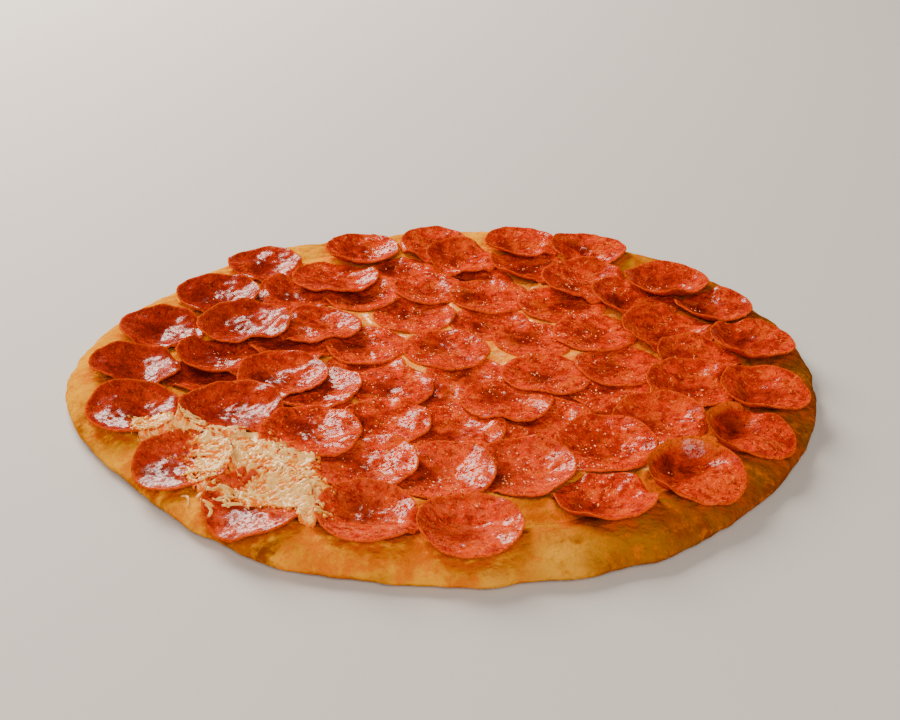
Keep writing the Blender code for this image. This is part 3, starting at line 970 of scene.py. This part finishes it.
def build_slice(laid, local, outline, crisp, material, number, draw):
    """The mesh of a slice: upper face, rounded rim and underside."""
    turn = directions(SLICE_SIDES)
    edge = outline(turn)
    points, rims, pool_shades, crisps = [], [], [], []
    ripple = Noise(1.7 * MM, 900 + number)
    # The painted shade lies towards the left of the hollow, and at the left back in the crisp ones
    shade_pool_x, shade_pool_y = draw.uniform(-0.45, -0.05), draw.uniform(-0.2, 0.3)
    if crisp.max() > 0.5:
        shade_pool_x, shade_pool_y = CRISP_SHADE_POOL

    def ring(share, drop):
        across = edge * share * np.cos(turn)
        along = edge * share * np.sin(turn)
        z = local.sample(laid.x + across, laid.y + along) - drop
        if drop == 0.0:
            z += RIPPLE_DEPTH * ripple(across, along)
        points.extend(zip(laid.x + across, laid.y + along, z))
        rims.extend([share if drop == 0.0 else UNDERSIDE] * SLICE_SIDES)
        away = np.hypot(across / laid.radius - shade_pool_x, along / laid.radius - shade_pool_y)
        pool_shades.extend(np.exp(-(away / SHADE_POOL_SPREAD) ** 2))
        crisps.extend(crisp * smooth_step(*CRISP_SHARES, share))

    for share in np.linspace(0.0, 1.0, SLICE_RINGS + 1)[1:] * TOP_SHARE:
        ring(share, 0.0)
    for share, drop in EDGE_PROFILE:
        ring(share, drop * SLICE_THICKNESS)
    for share in np.linspace(EDGE_PROFILE[-1][0], 0.0, UNDER_RINGS + 1)[1:-1]:
        ring(share, SLICE_THICKNESS)
    middle = float(local.sample(laid.x, laid.y))
    points.append((laid.x, laid.y, middle))
    points.append((laid.x, laid.y, middle - SLICE_THICKNESS))
    rims += [0.0, UNDERSIDE]
    pool_shades += [0.8, 0.0]
    crisps += [0.0, 0.0]
    # The darkening towards the right is painted shade
    left = float(smooth_step(*MAROON_LEFT, laid.x))
    right = float(smooth_step(*SHADED_RIGHT, laid.x))
    tone_and_shade = np.clip(1.0 - 0.78 * left - 0.3 * right + 0.15 * draw.uniform(-1, 1), 0, 1)
    # Pink on the front slices, partly painted sheen
    pink_sheen = float(smooth_step(*PINK_SHEEN_FRONT, laid.y)) if laid.x < PINK_SHEEN_END else 0.0
    count = len(points)
    layers = {"rim": rims, "tone_and_shade": [tone_and_shade] * count, "pink_sheen": [pink_sheen] * count, "pool_shade": pool_shades, "crisp": crisps}
    replaced = [laid.name] if laid.name in nodes else []
    faces = shell_faces(count, SLICE_SIDES)
    add_piece(laid.name + "_slice", points, faces, layers, material, replaced)


# Shreds and drops

def strands(x, y, turn, seed):
    """Wavy ridges that run roughly along a direction: one on a crest, zero between."""
    bent_x = x + RIDGE_BEND * Noise(4.5 * MM, seed)(x, y)
    bent_y = y + RIDGE_BEND * Noise(4.5 * MM, seed + 1)(x, y)
    along = bent_x * math.cos(turn) + bent_y * math.sin(turn)
    across = -bent_x * math.sin(turn) + bent_y * math.cos(turn)
    return (1.0 - np.abs(Noise(1.0, seed + 2)(along / RIDGE_LENGTH, across / RIDGE_WIDTH))) ** 2.5


def add_veil(ground, material):
    """White cheese that has half melted over the front left: a crumpled skin with ridges."""
    x0, y0, x1, y1 = VEIL_BOX
    x, y = np.meshgrid(np.arange(x0, x1, VEIL_CELL), np.arange(y0, y1, VEIL_CELL))
    share = spots_share(x, y, SHRED_PATCHES)
    ridges = np.maximum(strands(x, y, RIDGE_TURNS[0], 61), strands(x, y, RIDGE_TURNS[1], 71))
    breaks = hills(x, y, VEIL_BREAKS)
    cover = smooth_step(0.25, 0.62, share + 0.5 * breaks + 0.3 * ridges - 0.1)
    crumbs = Noise(1.3 * MM, 83)(x, y)
    height = MM * (cover - 0.6 + cover * (ridges + 0.35 * crumbs + 0.7 * breaks))
    height -= VEIL_DIP * smooth_step(*VEIL_END, from_middle(x, y))
    height = np.minimum(height, VEIL_TOP)
    soft = np.maximum(blur(ground.heights, VEIL_SOFTNESS), ground.heights - VEIL_SINK)
    level = Field(soft).sample(x, y)
    kept = height > VEIL_CUT
    cell = kept[:-1, :-1] & kept[1:, :-1] & kept[:-1, 1:] & kept[1:, 1:]
    used = np.zeros(kept.shape, bool)
    for down in (0, 1):
        for right in (0, 1):
            used[down:kept.shape[0] - 1 + down, right:kept.shape[1] - 1 + right] |= cell
    number = np.full(kept.shape, -1)
    number[used] = np.arange(used.sum())
    points = np.stack([x[used], y[used], (level + height)[used]], axis=1)
    corners = (number[:-1, :-1], number[:-1, 1:], number[1:, 1:], number[1:, :-1])
    faces = np.stack([corner[cell] for corner in corners], axis=1).tolist()
    stain = 1.75 - height / (0.62 * MM) + hills(x, y, ((0.7, 4.5 * MM, 84), (0.5, 2.2 * MM, 85)))
    stain = np.clip(stain[used], -0.2, 1.6)
    add_piece("cheese_veil", points, faces, {"stain": stain}, material)


def add_shreds(ground, material):
    """Short strands of white cheese that keep their shape."""
    draw = np.random.default_rng(31)
    points, faces = [], []
    weights = np.array([radius ** 2 for _, _, radius in SHRED_PATCHES], float)
    weights /= weights.sum()
    for _ in range(SHREDS):
        patch_x, patch_y, radius = SHRED_PATCHES[draw.choice(len(SHRED_PATCHES), p=weights)]
        away, turn = 0.85 * radius * MM * math.sqrt(draw.uniform()), draw.uniform(0, math.tau)
        x, y = patch_x * MM + away * math.cos(turn), patch_y * MM + away * math.sin(turn)
        heading = draw.normal(0.3, 0.8)
        length = draw.uniform(*SHRED_LENGTHS) * MM
        width = draw.uniform(*SHRED_WIDTHS) * MM
        steps = max(5, int(length / (1.0 * MM)))
        bend = draw.normal(0, 0.2)
        first = len(points)
        for step in range(steps + 1):
            share = step / steps
            girth = width * (0.35 + 0.65 * math.sin(math.pi * min(max(share, 0.04), 0.96)) ** 0.5)
            side_x, side_y = -math.sin(heading), math.cos(heading)
            for angle in directions(SHRED_SIDES):
                out = 1.25 * girth * math.cos(angle)
                px, py = x + side_x * out, y + side_y * out
                pz = float(ground.sample(px, py)) + SHRED_LIFT + 0.6 * girth * math.sin(angle)
                points.append((px, py, pz))
            x += math.cos(heading) * length / steps
            y += math.sin(heading) * length / steps
            heading += bend + draw.normal(0, 0.16)
        last = first + steps * SHRED_SIDES
        for ring in range(first, last, SHRED_SIDES):
            faces += ring_faces(ring, ring + SHRED_SIDES, SHRED_SIDES)
        faces.append(tuple(reversed(range(first, first + SHRED_SIDES))))
        faces.append(tuple(range(last, last + SHRED_SIDES)))
    stain = 0.1 + 0.3 * Noise(6 * MM, 41)(*np.array(points).T[:2])
    add_piece("cheese_shreds", points, faces, {"stain": stain}, material)


def droplet_material():
    """Beads of fat and oil on the meat."""
    material, _, shader = new_material("oil_beads", (1.0, 0.30, 0.10), 0.15)
    shader.inputs["Coat Weight"].default_value = 1.0
    shader.inputs["Coat Roughness"].default_value = 0.05
    return material


def add_droplets(ground):
    """Small beads over the slices, most of them in the middle and at the right."""
    draw = np.random.default_rng(57)
    points, faces = [], []
    turn = directions(DROP_SIDES)
    clumps = Noise(7 * MM, 58)
    made = 0
    while made < DROPS:
        x, y = draw.uniform(*DROP_X) * MM, draw.uniform(*DROP_Y) * MM
        if from_middle(x, y) > DROP_REACH:
            continue
        if draw.uniform() > 0.25 + 0.75 * float(smooth_step(-70 * MM, 0.0, x)):
            continue
        if patch_share(x, y) > 0.1 or clumps(x, y) + draw.uniform(-0.5, 0.5) < 0.0:
            continue
        radius = (DROP_RADIUS + DROP_GROWTH * draw.uniform() ** 3) * MM
        level = ground.sample(x + 1.5 * radius * np.cos(turn), y + 1.5 * radius * np.sin(turn))
        if level.max() - level.min() > 1.2 * radius:
            continue
        made += 1
        first = len(points)
        for share, height in DROP_RINGS:
            across, along = x + radius * share * np.cos(turn), y + radius * share * np.sin(turn)
            level = ground.sample(across, along) + radius * height
            points += list(zip(across, along, level))
        points.append((x, y, float(ground.sample(x, y)) + DROP_TOP * radius))
        last = len(points) - 1 - DROP_SIDES
        for ring in range(first, last, DROP_SIDES):
            faces += ring_faces(ring, ring + DROP_SIDES, DROP_SIDES)
        faces += fan_faces(len(points) - 1, last, DROP_SIDES)
        faces.append(tuple(reversed(range(first, first + DROP_SIDES))))
    add_piece("oil_beads", points, faces, {}, droplet_material())


# Stage

WARM = (1.0, 0.87, 0.75)
LIGHT_AIM = Vector((0, 0, 0.01))
KEY_PLACE = Vector((-0.85, 1.25, 0.98))
FILL_PLACE = Vector((0.1, -1.8, 1.25))
STUDIO_GLOW = (1.0, 0.98, 0.95, 1.0)
FLOOR_HALF = 4.0
FLOOR_DROP = 0.2 * MM


def add_area_light(name, spot, size, power):
    """A soft square light that points at the pizza. Size in metres, power in watts."""
    light = bpy.data.lights.new(name, "AREA")
    light.shape = "SQUARE"
    light.size = size
    light.energy = power
    light.color = WARM
    obj = bpy.data.objects.new(name, light)
    bpy.context.scene.collection.objects.link(obj)
    obj.location = spot
    obj.rotation_euler = (LIGHT_AIM - spot).to_track_quat("-Z", "Y").to_euler()


def add_stage():
    """The pale floor, the lights and the camera."""
    scene = bpy.context.scene
    bm = bmesh.new()
    bmesh.ops.create_grid(bm, x_segments=1, y_segments=1, size=FLOOR_HALF)
    mesh = bpy.data.meshes.new("floor")
    bm.to_mesh(mesh)
    bm.free()
    floor = bpy.data.objects.new("floor", mesh)
    scene.collection.objects.link(floor)
    floor.location.z = -FLOOR_DROP
    material, _, _ = new_material("pale_floor", (0.62, 0.61, 0.59), 0.7)
    mesh.materials.append(material)
    add_area_light("key", KEY_PLACE, 1.05, 69.0)
    add_area_light("fill", FILL_PLACE, 1.3, 49.0)
    world = bpy.data.worlds.new("studio")
    world.use_nodes = True
    background = world.node_tree.nodes["Background"]
    background.inputs["Color"].default_value = STUDIO_GLOW
    background.inputs["Strength"].default_value = 0.12
    scene.world = world
    add_camera()


def add_camera():
    """The camera, looking down on the pizza from the front."""
    elevation = math.radians(CAMERA_ELEVATION)
    roll = math.radians(CAMERA_ROLL)
    back = Vector((0, -math.cos(elevation), math.sin(elevation)))
    right = Vector((1, 0, 0))
    up = back.cross(right)
    across = math.cos(roll) * right + math.sin(roll) * up
    upward = -math.sin(roll) * right + math.cos(roll) * up
    data = bpy.data.cameras.new("camera")
    data.lens = LENS
    data.sensor_width = SENSOR
    data.clip_start = 0.01
    camera = bpy.data.objects.new("camera", data)
    bpy.context.scene.collection.objects.link(camera)
    matrix = Matrix((across, upward, back)).transposed().to_4x4()
    matrix.translation = AIM + back * CAMERA_DISTANCE
    camera.matrix_world = matrix
    bpy.context.scene.camera = camera


def read_slices():
    """Every slice in laying order: the sunken ones, then those of the solids."""
    cheese_tree = tree_of(nodes["cheese"])
    slices = []
    for number, (x, y, radius) in enumerate(SUNKEN_SLICES):
        slices.append(Slice(f"deep_{number + 1:02d}", x * MM, y * MM, radius * MM, cheese_tree))
    for name in slice_names():
        slices.append(Slice(name, *round_of(name), tree_of(nodes[name])))
    return slices


def main():
    """Build every piece."""
    slices = read_slices()
    cheese, cheese_covers = field_of(nodes["cheese"])
    under, _ = field_of(nodes["cheese"], from_below=True)
    loaf = make_crust(slices, crust_material())
    bread, _ = field_of(loaf)
    topping = cheese_material()
    top, reach = lay_cheese(cheese, cheese_covers, bread, slices)
    ground = Field(np.where(cheese_covers, np.maximum(top.heights, bread.heights), bread.heights))
    meat = pepperoni_material()
    for number, laid in enumerate(slices):
        lay_slice(laid, slices[number + 1:], ground, meat, number)
    add_cheese(top, reach, ground, under, slices, topping)
    add_veil(ground, topping)
    add_shreds(ground, topping)
    add_droplets(ground)
    add_stage()


main()
